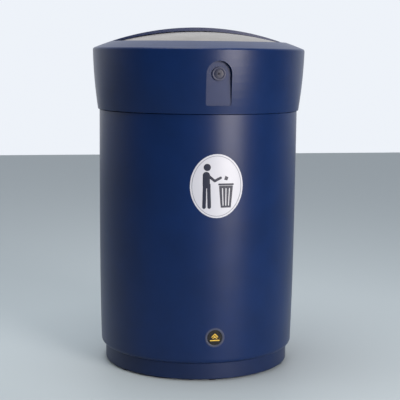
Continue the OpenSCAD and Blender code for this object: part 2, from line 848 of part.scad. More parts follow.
module flap_bushes() {
    color("#e8e6df") for (s = [-1, 1]) difference() {
        union() {
            rod_x(bush_r, s * bracket_x - bracket_t / 2, s * bracket_x + bracket_t / 2, rod_y, rod_z);
            for (d = [-1, 1])
                rod_x(bush_flange_r, s * bracket_x + d * (bracket_t + bush_flange_t) / 2 - bush_flange_t / 2,
                    s * bracket_x + d * (bracket_t + bush_flange_t) / 2 + bush_flange_t / 2, rod_y, rod_z);
        }
        rod_x(rod_r + run_clear, s * bracket_x - bracket_x / 2, s * bracket_x + bracket_x / 2, rod_y, rod_z);
    }
}

module rod_clips() {
    x0 = bracket_x + bracket_t / 2 + bush_flange_t + rest_gap;
    color("#c8cacd") for (s = [-1, 1]) difference() {
        rod_x(clip_r, min(s * x0, s * (x0 + clip_t)), max(s * x0, s * (x0 + clip_t)), rod_y, rod_z);
        rod_x(rod_r + press_gap, min(s * x0, s * (x0 + clip_t)) - cut, max(s * x0, s * (x0 + clip_t)) + cut,
            rod_y, rod_z);
    }
}

// Coil round the rod, with one leg towards the arm and one bent out towards the bracket
function coil_points(x0, x1, arm_leg, leg) = concat(
    [[x0 - arm_leg, spring_r, -2]],
    [for (i = [0:spring_turns * spring_steps])
        let (a = 360 * i / spring_steps, x = x0 + (x1 - x0) * i / (spring_turns * spring_steps))
        [x, spring_r * cos(a), spring_r * sin(a)]],
    [[x1 + 0.5, spring_leg_r - 1, 2.5], [x1 + 1.8, spring_leg_r, 3], [x1 + leg, spring_leg_r, 3]]);

module wire(points) {
    n = len(points);
    function ahead(i) = points[min(i + 1, n - 1)] - points[max(i - 1, 0)];
    rings = [for (i = [0:n - 1])
        let (t = ahead(i) / norm(ahead(i)),
             u0 = cross(t, [0, -points[i][2], points[i][1]] + [0.001, 0, 0]),
             u = u0 / norm(u0), v = cross(t, u))
        for (k = [0:spring_sides - 1])
            points[i] + spring_wire_r * (cos(360 * k / spring_sides) * u + sin(360 * k / spring_sides) * v)];
    s = spring_sides;
    sides = [for (i = [0:n - 2], k = [0:s - 1], h = [0, 1])
        h == 0 ? [i * s + k, i * s + (k + 1) % s, (i + 1) * s + (k + 1) % s]
               : [i * s + k, (i + 1) * s + (k + 1) % s, (i + 1) * s + k]];
    caps = [[for (k = [s - 1:-1:0]) k], [for (k = [0:s - 1]) (n - 1) * s + k]];
    polyhedron(rings, concat(sides, caps));
}

module flap_springs() {
    x0 = arm_x + arm_t / 2 + spring_gap;
    x1 = bracket_x - bracket_t / 2 - bush_flange_t - spring_gap;
    leg = spring_gap + bush_flange_t - rest_gap;
    points = coil_points(x0, x1, spring_gap - 4 * rest_gap, leg);
    color("#c8cacd") translate([0, rod_y, rod_z]) {
        wire(points);
        mirror([1, 0, 0]) wire(points);
    }
}

// ---- Liner ----

module slot_outline(grow) {
    half = slot_w / 2 - slot_h / 2;
    translate([-half, slot_z - slot_h / 2 - grow]) square([2 * half, slot_h + 2 * grow]);
    for (s = [-1, 1]) translate([s * half, slot_z]) circle(slot_h / 2 + grow);
}

module liner_wall() {
    color("#a9adb1") difference() {
        rotate_extrude() union() {
            translate([liner_r - liner_t, liner_low_z]) square([liner_t, liner_rim_z - liner_low_z]);
            translate([liner_r + liner_rim_out, liner_rim_z]) circle(liner_rim_r);
        }
        along_x(-liner_r - 20, liner_r + 20) slot_outline(0);
    }
}

module liner_bottom() {
    r = liner_r - liner_t - bottom_gap;
    color("#a0a4a8") rotate_extrude() polygon([[0, liner_bottom_z], [r - liner_t, liner_bottom_z],
        [r - liner_t, liner_bottom_z - liner_flange], [r, liner_bottom_z - liner_flange],
        [r, liner_bottom_z + liner_t], [0, liner_bottom_z + liner_t]]);
}

module liner_grip(s) {
    inner = liner_r - liner_t;
    low = slot_z - slot_h;
    difference() {
        intersection() {
            rotate_extrude() translate([inner - grip_t, low]) square([liner_t + 2 * grip_t, 2 * slot_h]);
            along_x(min(0, s * (liner_r + 20)), max(0, s * (liner_r + 20))) slot_outline(grip_border);
        }
        along_x(min(0, s * (liner_r + 20)), max(0, s * (liner_r + 20))) slot_outline(-grip_lip);
        difference() {
            rotate_extrude() translate([inner - bottom_gap, low - cut])
                square([liner_t + 2 * bottom_gap, 2 * slot_h + 2 * cut]);
            along_x(-liner_r - 30, liner_r + 30) slot_outline(-bottom_gap);
        }
    }
}

module liner_grips() {
    color("#1b1b1c") for (s = [-1, 1]) liner_grip(s);
}

body_shell();
base_plinth();
base_deck();
ballast_plate();
base_bolts();
base_washers();
base_nuts();
rubber_glides();
hood_buffers();
keeper_bracket();
keeper_screws();
hinge_body_leaf();
hinge_pin();
body_hinge_screws();
oval_label();
badge_bezel();
badge_disc();
hood_shell();
hinge_hood_leaf();
hood_hinge_screws();
lock_housing();
lock_nut();
flap_bracket_left();
flap_bracket_right();
flap_bracket_screws();
flap_bushes();
flap_seal();
flap_springs();
lock_plug();
lock_cam();
cam_screw();
flap_panel();
flap_arms();
flap_rod();
rod_clips();
liner_wall();
liner_bottom();
liner_grips();
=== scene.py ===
import math

import bmesh
import bpy
from mathutils import Matrix, Vector


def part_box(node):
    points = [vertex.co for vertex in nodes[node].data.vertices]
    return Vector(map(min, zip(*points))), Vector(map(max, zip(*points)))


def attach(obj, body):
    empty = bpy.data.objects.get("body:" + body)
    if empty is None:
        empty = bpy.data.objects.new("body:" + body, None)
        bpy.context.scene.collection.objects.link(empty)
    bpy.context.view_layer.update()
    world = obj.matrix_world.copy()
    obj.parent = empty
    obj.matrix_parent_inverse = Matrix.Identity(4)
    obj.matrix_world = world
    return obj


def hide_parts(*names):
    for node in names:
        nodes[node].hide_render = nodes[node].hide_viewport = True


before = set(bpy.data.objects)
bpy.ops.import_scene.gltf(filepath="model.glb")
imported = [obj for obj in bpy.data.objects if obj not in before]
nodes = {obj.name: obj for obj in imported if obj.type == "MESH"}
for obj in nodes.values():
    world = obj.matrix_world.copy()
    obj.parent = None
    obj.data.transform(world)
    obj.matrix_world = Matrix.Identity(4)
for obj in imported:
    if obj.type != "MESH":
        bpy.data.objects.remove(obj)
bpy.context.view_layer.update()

MM = 0.001


# ---------------------------------------------------------------- material helpers

def feed(tree, socket, value):
    """Links the socket to another one, or gives it a constant."""
    if isinstance(value, bpy.types.NodeSocket):
        tree.links.new(value, socket)
    else:
        socket.default_value = value


def add_node(tree, kind, inputs=None, **settings):
    """Adds a shader node; an input given as a socket is linked, anything else is its value."""
    node = tree.nodes.new(kind)
    for name, value in settings.items():
        setattr(node, name, value)
    for name, value in (inputs or {}).items():
        feed(tree, node.inputs[name], value)
    return node


def new_material(name, **constants):
    """A Principled material; constants go straight onto the shader's own sockets."""
    mat = bpy.data.materials.new(name)
    mat.use_nodes = True
    shader = mat.node_tree.nodes["Principled BSDF"]
    for socket, value in constants.items():
        shader.inputs[socket.replace("_", " ")].default_value = value
    return mat, mat.node_tree, shader


def shade(colour, factor):
    return tuple(c * factor for c in colour)


def component(tree, vector, axis):
    """One of a vector's X, Y and Z."""
    return add_node(tree, "ShaderNodeSeparateXYZ", {"Vector": vector}).outputs[axis]


def object_coords(tree, scale=(1, 1, 1)):
    coords = add_node(tree, "ShaderNodeTexCoord")
    mapping = add_node(tree, "ShaderNodeMapping", {"Vector": coords.outputs["Object"], "Scale": scale})
    return mapping.outputs["Vector"]


def noise(tree, scale, detail, rough, stretch=(1, 1, 1), distortion=0.0):
    node = add_node(tree, "ShaderNodeTexNoise", {
        "Vector": object_coords(tree, stretch), "Scale": scale, "Detail": detail,
        "Roughness": rough, "Distortion": distortion})
    return node.outputs["Fac"]


def remap(tree, value, low, high, out_low, out_high, smooth=False):
    node = add_node(tree, "ShaderNodeMapRange", {
        "Value": value, "From Min": low, "From Max": high, "To Min": out_low, "To Max": out_high})
    if smooth:
        node.interpolation_type = "SMOOTHSTEP"
    return node.outputs["Result"]


def arithmetic(tree, operation, a, b):
    node = tree.nodes.new("ShaderNodeMath")
    node.operation = operation
    for socket, value in zip(node.inputs, (a, b)):
        feed(tree, socket, value)
    return node.outputs[0]


def blend_colours(tree, factor, a, b):
    """Mixes two colours, each a socket or a tuple of red, green and blue."""
    node = add_node(tree, "ShaderNodeMix", data_type="RGBA")
    # The Mix node has inputs of the same name for each data type, so its colour ones go by number
    for socket, value in ((node.inputs[0], factor), (node.inputs[6], a), (node.inputs[7], b)):
        feed(tree, socket, (*value, 1.0) if isinstance(value, tuple) else value)
    return node.outputs[2]


def bump(tree, height, distance, strength, below=None):
    inputs = {"Height": height, "Distance": distance, "Strength": strength}
    if below is not None:
        inputs["Normal"] = below
    return add_node(tree, "ShaderNodeBump", inputs).outputs["Normal"]


# ---------------------------------------------------------------- materials

# Pale grey for the dirt near the floor and for faces that look up; on those faces it is partly a painted
# sheen of the light from above
DUST_AND_SHEEN = (0.32, 0.33, 0.37)
DUST_HEIGHT = 0.11      # metres above the floor to which low dust reaches


def moulded_plastic(name, colour, pale, roughness, dust_low=0.0, top_dust_and_sheen=0.0):
    """Rotationally moulded plastic: slow waves, fine orange peel and faint scuffs, with grey dirt near the
    floor and, where the material asks for it, a pale grey on faces that look up, which is partly dirt and
    partly painted sheen from above."""
    mat, tree, shader = new_material(name, IOR=1.5, Specular_IOR_Level=0.28)
    link = tree.links.new
    mottle = noise(tree, 9, 4, 0.6)
    grain = noise(tree, 420, 2, 0.6)
    scuff_lines = noise(tree, 38, 5, 0.7, stretch=(1.0, 1.0, 0.16), distortion=0.4)
    scuffs = remap(tree, scuff_lines, 0.63, 0.78, 0.0, 0.5, smooth=True)
    patch = remap(tree, noise(tree, 4.5, 3, 0.5), 0.5, 0.68, 0.0, 1.0, smooth=True)
    scuffs = arithmetic(tree, "MULTIPLY", scuffs, patch)
    tone = blend_colours(tree, remap(tree, mottle, 0.3, 0.7, 0.0, 1.0),
                         shade(colour, 0.88), shade(colour, 1.12))
    tone = blend_colours(tree, arithmetic(tree, "MULTIPLY", scuffs, 0.35), tone, pale)
    height = component(tree, add_node(tree, "ShaderNodeTexCoord").outputs["Object"], "Z")
    low_dust = remap(tree, height, 0.0, DUST_HEIGHT, dust_low, 0.0, smooth=True)
    speckle = remap(tree, noise(tree, 11, 7, 0.62), 0.3, 0.7, 0.55, 1.0)
    dust_and_sheen = arithmetic(tree, "MULTIPLY", low_dust, speckle)
    # Faces that look up are lightened towards the pale grey: partly settled dirt, partly painted sheen where
    # the light from above falls on the top
    if top_dust_and_sheen:
        up = component(tree, add_node(tree, "ShaderNodeNewGeometry").outputs["Normal"], "Z")
        settled_dust_and_sheen = remap(tree, up, 0.8, 1.0, 0.0, top_dust_and_sheen, smooth=True)
        dust_and_sheen = arithmetic(tree, "ADD", dust_and_sheen, arithmetic(tree, "MULTIPLY", settled_dust_and_sheen, speckle))
    tone = blend_colours(tree, dust_and_sheen, tone, DUST_AND_SHEEN)
    link(tone, shader.inputs["Base Color"])
    rough = remap(tree, grain, 0.25, 0.75, roughness - 0.03, roughness + 0.03)
    rough = arithmetic(tree, "ADD", rough, arithmetic(tree, "MULTIPLY", scuffs, 0.18))
    rough = arithmetic(tree, "ADD", rough, arithmetic(tree, "MULTIPLY", dust_and_sheen, 0.5))
    link(rough, shader.inputs["Roughness"])
    waves = bump(tree, noise(tree, 7, 2, 0.4), 0.0012, 0.6)
    peel = bump(tree, grain, 0.00012, 0.8, below=waves)
    link(peel, shader.inputs["Normal"])
    return mat


def metal(name, colour, roughness, grain=(1, 1, 1), grain_scale=60, depth=0.00004, tint=None):
    """Bare metal with a directional or even grain, blotches in its roughness and a slight tint."""
    mat, tree, shader = new_material(name, Metallic=1.0)
    link = tree.links.new
    fine = noise(tree, grain_scale, 5, 0.65, stretch=grain)
    blotch = noise(tree, 14, 4, 0.6)
    dull = shade(colour, 0.8)
    tone = blend_colours(tree, remap(tree, blotch, 0.35, 0.7, 0.0, 1.0), colour, tint or dull)
    tone = blend_colours(tree, remap(tree, fine, 0.4, 0.75, 0.0, 0.35), tone, dull)
    link(tone, shader.inputs["Base Color"])
    rough = arithmetic(tree, "ADD", remap(tree, fine, 0.3, 0.7, roughness - 0.06, roughness + 0.06),
                       remap(tree, blotch, 0.3, 0.8, -0.02, 0.08))
    link(rough, shader.inputs["Roughness"])
    link(bump(tree, fine, depth, 0.7), shader.inputs["Normal"])
    return mat


def galvanised_sheet(name):
    """Hot-dip zinc: angular spangle in the tone and the roughness, with darker grime over it."""
    mat, tree, shader = new_material(name, Metallic=1.0)
    link = tree.links.new
    cells = add_node(tree, "ShaderNodeTexVoronoi", {"Vector": object_coords(tree), "Scale": 85.0})
    facet = component(tree, cells.outputs["Color"], "X")
    tone = blend_colours(tree, facet, (0.36, 0.38, 0.40), (0.58, 0.60, 0.62))
    grime = remap(tree, noise(tree, 5, 5, 0.6), 0.45, 0.75, 0.0, 0.4)
    tone = blend_colours(tree, grime, tone, (0.28, 0.27, 0.25))
    link(tone, shader.inputs["Base Color"])
    link(remap(tree, facet, 0.0, 1.0, 0.30, 0.52), shader.inputs["Roughness"])
    link(bump(tree, facet, 0.00005, 0.6), shader.inputs["Normal"])
    return mat


def rubber(name):
    """Matt black rubber with a fine grain."""
    mat, tree, shader = new_material(name, IOR=1.45)
    link = tree.links.new
    fine = noise(tree, 500, 3, 0.6)
    tone = blend_colours(tree, noise(tree, 30, 4, 0.6), (0.010, 0.010, 0.011), (0.030, 0.030, 0.031))
    link(tone, shader.inputs["Base Color"])
    link(remap(tree, fine, 0.3, 0.7, 0.62, 0.8), shader.inputs["Roughness"])
    link(bump(tree, fine, 0.0001, 0.8), shader.inputs["Normal"])
    return mat


def satin_coat(name, colour, roughness, wear=0.25):
    """Thin coat on metal, with fine speckle and a little wear in it."""
    mat, tree, shader = new_material(name, IOR=1.5, Specular_IOR_Level=0.35)
    link = tree.links.new
    fine = noise(tree, 900, 3, 0.6)
    worn = remap(tree, noise(tree, 140, 6, 0.75), 0.55, 0.75, 0.0, wear, smooth=True)
    tone = blend_colours(tree, remap(tree, fine, 0.3, 0.7, 0.0, 1.0),
                         shade(colour, 0.85), shade(colour, 1.15))
    link(blend_colours(tree, worn, tone, (0.25, 0.25, 0.26)), shader.inputs["Base Color"])
    link(remap(tree, fine, 0.3, 0.7, roughness - 0.05, roughness + 0.05), shader.inputs["Roughness"])
    link(bump(tree, fine, 0.00005, 0.6), shader.inputs["Normal"])
    return mat


def vinyl(name, colour, roughness=0.32):
    """Smooth film, ink or nylon: very slight unevenness, a few greyer rubs."""
    mat, tree, shader = new_material(name, IOR=1.47)
    link = tree.links.new
    rubs = remap(tree, noise(tree, 55, 6, 0.75, stretch=(1, 1, 0.5)), 0.6, 0.8, 0.0, 0.25, smooth=True)
    grey = tuple(0.75 * c + 0.02 for c in colour)
    tone = blend_colours(tree, noise(tree, 20, 3, 0.5), colour, shade(colour, 0.95))
    link(blend_colours(tree, rubs, tone, grey), shader.inputs["Base Color"])
    link(remap(tree, noise(tree, 200, 3, 0.6), 0.3, 0.7, roughness - 0.04, roughness + 0.06),
         shader.inputs["Roughness"])
    link(bump(tree, noise(tree, 120, 3, 0.5), 0.00005, 0.5), shader.inputs["Normal"])
    return mat


NAVY = (0.0016, 0.0150, 0.075)
PALE_SCUFF = (0.10, 0.14, 0.26)

# The shell's pale grey on faces that look up is partly dirt and partly painted sheen
shell_plastic = moulded_plastic("shell_plastic", NAVY, PALE_SCUFF, 0.34, dust_low=0.012, top_dust_and_sheen=0.11)
# The plinth is the shell's navy made a fifth darker: painted shade, as the low ring gets less of the light
# from above
plinth_plastic_painted_shade = moulded_plastic("plinth_plastic_painted_shade", shade(NAVY, 0.8), PALE_SCUFF, 0.42, dust_low=0.02)
deck_plastic = moulded_plastic("deck_plastic", (0.012, 0.012, 0.013), (0.10, 0.10, 0.10), 0.5)
cast_plate = metal("cast_plate", (0.10, 0.10, 0.10), 0.6, grain_scale=200, depth=0.0003)
zinc_plate = metal("zinc_plate", (0.55, 0.56, 0.57), 0.36, tint=(0.56, 0.54, 0.46))
bright_steel = metal("bright_steel", (0.62, 0.63, 0.64), 0.24)
polished_steel = metal("polished_steel", (0.35, 0.31, 0.27), 0.28, grain=(1.0, 14.0, 1.0), grain_scale=26,
                       depth=0.00002, tint=(0.29, 0.265, 0.24))
galvanised = galvanised_sheet("galvanised")
black_rubber = rubber("black_rubber")
label_film = vinyl("label_film", (0.52, 0.545, 0.61))
print_ink = vinyl("print_ink", (0.004, 0.009, 0.030), 0.4)
print_grey = vinyl("print_grey", (0.20, 0.22, 0.27), 0.4)
badge_rim = satin_coat("badge_rim", (0.045, 0.055, 0.10), 0.35)
badge_face = vinyl("badge_face", (0.002, 0.002, 0.003), 0.24)
badge_gold = metal("badge_gold", (0.78, 0.52, 0.10), 0.32, grain_scale=300)
lock_coat = satin_coat("lock_coat", (0.005, 0.012, 0.050), 0.40, 0.06)
lock_face = satin_coat("lock_face", (0.004, 0.009, 0.035), 0.42, 0.06)
nylon = vinyl("nylon", (0.68, 0.66, 0.60), 0.45)

NODE_MATERIALS = {
    shell_plastic: ["body_shell", "hood_shell"],
    plinth_plastic_painted_shade: ["base_plinth"],
    deck_plastic: ["base_deck"],
    cast_plate: ["ballast_plate"],
    zinc_plate: ["base_bolts", "base_washers", "base_nuts", "keeper_bracket", "hinge_body_leaf",
                 "hinge_hood_leaf", "lock_nut", "flap_bracket_left", "flap_bracket_right", "lock_cam",
                 "flap_arms"],
    bright_steel: ["keeper_screws", "hinge_pin", "body_hinge_screws", "hood_hinge_screws",
                   "flap_bracket_screws", "flap_springs", "cam_screw", "flap_rod", "rod_clips"],
    polished_steel: ["flap_panel"],
    galvanised: ["liner_wall", "liner_bottom"],
    black_rubber: ["rubber_glides", "hood_buffers", "flap_seal", "liner_grips"],
    label_film: ["oval_label"],
    badge_rim: ["badge_bezel"],
    badge_face: ["badge_disc"],
    lock_coat: ["lock_housing"],
    lock_face: ["lock_plug"],
    nylon: ["flap_bushes"],
}

# Radius of the small edge round added to some nodes, in millimetres
EDGE_ROUNDS = {
    "keeper_bracket": 0.4, "lock_housing": 0.6, "lock_plug": 0.5, "lock_cam": 0.4, "lock_nut": 0.4,
    "base_nuts": 0.4, "ballast_plate": 1.0, "badge_bezel": 0.5, "rubber_glides": 0.6,
}

SMOOTH_BELOW = 32       # degrees between faces up to which a CAD node is shaded smooth
ROUND_ABOVE = 50        # degrees between faces from which an edge is rounded
WELD_GAP = 0.00001      # metres


def dress(node, mat):
    """Gives a CAD node its material, smooth shading and, if EDGE_ROUNDS has it, rounded edges."""
    obj = nodes[node]
    obj.data.materials.clear()
    obj.data.materials.append(mat)
    obj.data.polygons.foreach_set("use_smooth", [True] * len(obj.data.polygons))
    obj.data.set_sharp_from_angle(angle=math.radians(SMOOTH_BELOW))
    if node in EDGE_ROUNDS:
        weld = obj.modifiers.new("weld", "WELD")
        weld.merge_threshold = WELD_GAP
        edge = obj.modifiers.new("edge_round", "BEVEL")
        edge.width = EDGE_ROUNDS[node] * MM
        edge.segments = 3
        edge.limit_method = "ANGLE"
        edge.angle_limit = math.radians(ROUND_ABOVE)
        edge.harden_normals = True


for mat, names in NODE_MATERIALS.items():
    for name in names:
        dress(name, mat)


# ---------------------------------------------------------------- piece helpers

def make_piece(name, bm, mat, body, smooth_angle=35):
    """Turns the bmesh into a visible piece that rides a body."""
    mesh = bpy.data.meshes.new(name)
    bmesh.ops.recalc_face_normals(bm, faces=bm.faces[:])
    bm.to_mesh(mesh)
    bm.free()
    mesh.polygons.foreach_set("use_smooth", [True] * len(mesh.polygons))
    mesh.set_sharp_from_angle(angle=math.radians(smooth_angle))
    mesh.materials.append(mat)
    obj = bpy.data.objects.new(name, mesh)
    bpy.context.scene.collection.objects.link(obj)
    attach(obj, body)
    return obj


def print_shape(bm, distance, x_range, z_range, step, place):
    """Fills where distance(x, z) is negative, cell by cell, with its edge cut true.

    place(x, z) gives the 3-D point.
    """
    def corner(i, j):
        return (x_range[0] + i * step, z_range[0] + j * step)

    columns = int((x_range[1] - x_range[0]) / step) + 1
    rows = int((z_range[1] - z_range[0]) / step) + 1
    values = {(i, j): distance(*corner(i, j)) for i in range(columns + 1) for j in range(rows + 1)}
    made = {}

    def vertex(key, point):
        if key not in made:
            made[key] = bm.verts.new(place(*point))
        return made[key]

    for i in range(columns):
        for j in range(rows):
            ring = [(i, j), (i + 1, j), (i + 1, j + 1), (i, j + 1)]
            if min(values[c] for c in ring) >= 0:
                continue
            loop = []
            for k in range(4):
                a, b = ring[k], ring[(k + 1) % 4]
                if values[a] < 0:
                    loop.append(vertex(a, corner(*a)))
                if (values[a] < 0) != (values[b] < 0):
                    t = values[a] / (values[a] - values[b])
                    pa, pb = corner(*a), corner(*b)
                    point = (pa[0] + t * (pb[0] - pa[0]), pa[1] + t * (pb[1] - pa[1]))
                    loop.append(vertex(tuple(sorted((a, b))), point))
            if len(loop) >= 3:
                bm.faces.new(loop)


def thicken(obj, depth):
    """Gives a flat print its depth, outwards."""
    solid = obj.modifiers.new("thickness", "SOLIDIFY")
    solid.thickness = depth
    solid.offset = 1.0


def capsule(ax, az, bx, bz, width):
    """Distance to a round-ended bar."""
    def distance(x, z):
        dx, dz = bx - ax, bz - az
        along = max(0.0, min(1.0, ((x - ax) * dx + (z - az) * dz) / (dx * dx + dz * dz)))
        return math.hypot(x - ax - along * dx, z - az - along * dz) - width / 2
    return distance


def disc(cx, cz, radius):
    """Distance to a disc."""
    return lambda x, z: math.hypot(x - cx, z - cz) - radius


def polygon(*points):
    """Distance to a convex outline given anticlockwise."""
    def distance(x, z):
        worst = -1e9
        for (ax, az), (bx, bz) in zip(points, points[1:] + points[:1]):
            length = math.hypot(bx - ax, bz - az)
            worst = max(worst, ((x - ax) * (bz - az) - (z - az) * (bx - ax)) / length)
        return worst
    return distance


def join(*shapes):
    return lambda x, z: min(s(x, z) for s in shapes)


def without(shape, *holes):
    return lambda x, z: max([shape(x, z)] + [-h(x, z) for h in holes])


def revolve(bm, profile, start=0.0, sweep=360.0, segments=96):
    """Turns a closed outline of (radius, z) about the Z axis; part of a turn gets end caps."""
    whole = sweep >= 360.0
    rings = []
    for k in range(segments if whole else segments + 1):
        a = math.radians(start + sweep * k / segments)
        rings.append([bm.verts.new((r * math.cos(a), r * math.sin(a), z)) for r, z in profile])
    count = len(profile)
    for k in range(segments):
        here, there = rings[k], rings[(k + 1) % len(rings)]
        for i in range(count):
            n = (i + 1) % count
            bm.faces.new((here[i], here[n], there[n], there[i]))
    if not whole:
        bm.faces.new(rings[0])
        bm.faces.new(rings[-1][::-1])


# ---------------------------------------------------------------- screws

def pan_screw(bm, seat, axis, head_r, head_h, shank_r, length):
    """One pan-head screw with a cross recess; seat is the point under its head and axis points out of it."""
    u = axis.orthogonal().normalized()
    v = axis.cross(u)
    count = 48              # points in each ring
    steps = 14              # rings from the head's edge to its middle
    tip_r, tip_length = 0.3 * shank_r, 0.8 * shank_r
    edge_share = 0.4        # height of the head's edge, as a share of head_h
    recess_depth = 0.6 * head_h
    # Half width and length of the recess's arms, each with the width of its slope, as shares of head_r
    arm_half, arm_slope = 0.16, 0.06
    arm_length, end_slope = 0.66, 0.12

    def recess(x, y):
        across = min(abs(x), abs(y)) / head_r
        out = math.hypot(x, y) / head_r
        walls = max(0.0, min(1.0, (arm_half - across) / arm_slope))
        reach = max(0.0, min(1.0, (arm_length - out) / end_slope))
        return recess_depth * walls * reach

    def ring(r, w, dished=False):
        made = []
        for k in range(count):
            x, y = r * math.cos(2 * math.pi * k / count), r * math.sin(2 * math.pi * k / count)
            up = w - (recess(x, y) if dished else 0.0)
            made.append(bm.verts.new(seat + x * u + y * v + up * axis))
        return made

    rings = [ring(tip_r, -length), ring(shank_r, tip_length - length), ring(shank_r, 0.0), ring(head_r, 0.0)]
    for i in range(steps):
        share = 1.0 - i / steps
        dome = math.sqrt(1.0 - share ** 3.0)
        rings.append(ring(head_r * share, head_h * (edge_share + (1.0 - edge_share) * dome), True))
    for a, b in zip(rings, rings[1:]):
        for k in range(count):
            n = (k + 1) % count
            bm.faces.new((a[k], a[n], b[n], b[k]))
    bm.faces.new(rings[0][::-1])
    centre = bm.verts.new(seat + (head_h - recess(0.0, 0.0)) * axis)
    for k in range(count):
        bm.faces.new((rings[-1][k], rings[-1][(k + 1) % count], centre))


def screw_set(node, body, axis, head_r, head_h, shank_r, inner_x=None):
    """Stands for a CAD node of plain screws, whose places are read off its box.

    axis is "Y" for screws whose heads face +Y and "Z" for heads that face down. inner_x is the distance
    from each end screw to one more inside it. Sizes are in millimetres.
    """
    low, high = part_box(node)
    head_r, head_h, shank_r = head_r * MM, head_h * MM, shank_r * MM
    xs = {round(low[0] + head_r, 6), round(high[0] - head_r, 6)}
    if inner_x:
        xs |= {round(low[0] + head_r + inner_x * MM, 6), round(high[0] - head_r - inner_x * MM, 6)}
    bm = bmesh.new()
    for x in sorted(xs):
        if axis == "Y":
            seat_y = high[1] - head_h
            for z in sorted({round(low[2] + head_r, 6), round(high[2] - head_r, 6)}):
                seat = Vector((x, seat_y, z))
                pan_screw(bm, seat, Vector((0, 1, 0)), head_r, head_h, shank_r, seat_y - low[1])
        else:
            seat = Vector((x, 0.5 * (low[1] + high[1]), low[2] + head_h))
            pan_screw(bm, seat, Vector((0, 0, -1)), head_r, head_h, shank_r, high[2] - seat.z)
    piece = make_piece(node + "_pan", bm, bright_steel, body, 30)
    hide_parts(node)


screw_set("body_hinge_screws", "body", "Y", head_r=4.0, head_h=2.0, shank_r=2.0)
screw_set("hood_hinge_screws", "hood", "Y", head_r=4.0, head_h=2.0, shank_r=2.0)
screw_set("keeper_screws", "body", "Y", head_r=3.5, head_h=1.8, shank_r=2.0)
screw_set("flap_bracket_screws", "hood", "Z", head_r=3.8, head_h=2.2, shank_r=2.0, inner_x=20)
screw_set("cam_screw", "lock", "Y", head_r=5.0, head_h=2.8, shank_r=2.5)


# ---------------------------------------------------------------- liner and flap details

RIM_REACH = 6.0 * MM        # from the liner's inner face to the outside of its rolled rim
SHEET_OVERLAP = 0.3 * MM    # how far beads and seam go into the sheet, so that no gap shows


def liner_beads(low, high):
    """Three rolled beads that stiffen the sheet."""
    back = high[0] - RIM_REACH + SHEET_OVERLAP
    depth, half_width = 2.4 * MM, 4.0 * MM
    bm = bmesh.new()
    for share in (0.25, 0.52, 0.79):
        z = low[2] + share * (high[2] - low[2])
        revolve(bm, [(back - depth * math.cos(math.radians(a)), z + half_width * math.sin(math.radians(a)))
                     for a in range(-90, 91, 15)])
    make_piece("liner_beads", bm, galvanised, "liner", 50)


def liner_seam(low, high):
    """The folded seam that closes the sheet at the back."""
    inner = high[0] - RIM_REACH
    back, shoulder, face = inner + SHEET_OVERLAP, inner - 0.8 * MM, inner - 1.3 * MM
    foot, top, chamfer = low[2] + 16 * MM, high[2] - 9 * MM, 1 * MM
    rear, sweep = 90.0, 3.2     # degrees about the axis from +X
    bm = bmesh.new()
    outline = [(back, foot), (back, top), (shoulder, top), (face, top - chamfer), (face, foot + chamfer),
               (shoulder, foot)]
    revolve(bm, outline, rear - sweep / 2, sweep, 8)
    make_piece("liner_seam", bm, galvanised, "liner", 35)


def flap_hem():
    """The flap's rear edge folded back under itself into a round hem."""
    low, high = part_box("flap_panel")
    half, edge_y = 0.5 * (high[0] - low[0]), high[1]
    rise = high[2] - low[2]
    dome_r = (half * half + rise * rise) / (2 * rise)
    hem_r, inset, drop, end_gap = 1.5 * MM, 1.2 * MM, 1.9 * MM, 6 * MM
    spans, sides = 48, 12
    bm = bmesh.new()
    rings = []
    for k in range(spans + 1):
        x = (half - end_gap) * (2 * k / spans - 1)
        z = high[2] - dome_r + math.sqrt(dome_r * dome_r - x * x - edge_y * edge_y) - drop
        rings.append([bm.verts.new((x, edge_y - inset + hem_r * math.cos(a), z + hem_r * math.sin(a)))
                      for a in [2 * math.pi * i / sides for i in range(sides)]])
    for a, b in zip(rings, rings[1:]):
        for i in range(sides):
            n = (i + 1) % sides
            bm.faces.new((a[i], a[n], b[n], b[i]))
    bm.faces.new(rings[0][::-1])
    bm.faces.new(rings[-1])
    make_piece("flap_hem", bm, polished_steel, "flap", 40)


liner_low, liner_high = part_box("liner_wall")
liner_beads(liner_low, liner_high)
liner_seam(liner_low, liner_high)
flap_hem()


# ---------------------------------------------------------------- label print

label_low, label_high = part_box("oval_label")
label_x = 0.5 * (label_low[0] + label_high[0])
label_z = 0.5 * (label_low[2] + label_high[2])
label_half_w = 0.5 * (label_high[0] - label_low[0]) / MM
label_half_h = 0.5 * (label_high[2] - label_low[2]) / MM
label_front = -label_low[1]
BODY_TAPER = 0.0009     # how much the body's radius grows with height behind the label
PRINT_LIFT = 0.06 * MM  # from the film to the print's inner face
PRINT_DEPTH = 0.10 * MM


def on_label(x, z):
    """A point of the label's face, given in millimetres from its centre."""
    radius = label_front + PRINT_LIFT + (z - label_half_h) * MM * BODY_TAPER
    return (label_x + x * MM, -math.sqrt(radius * radius - (label_x + x * MM) ** 2), label_z + z * MM)


def oval_ring():
    """The thin line inside the label's edge."""
    bm = bmesh.new()
    count = 144
    rings = []
    for inset in (4.2, 5.6):    # millimetres in from the label's edge
        rings.append([bm.verts.new(on_label((label_half_w - inset) * math.cos(2 * math.pi * k / count),
                                            (label_half_h - inset) * math.sin(2 * math.pi * k / count)))
                      for k in range(count)])
    for k in range(count):
        n = (k + 1) % count
        bm.faces.new((rings[0][k], rings[0][n], rings[1][n], rings[1][k]))
    thicken(make_piece("label_line", bm, print_grey, "body"), PRINT_DEPTH)


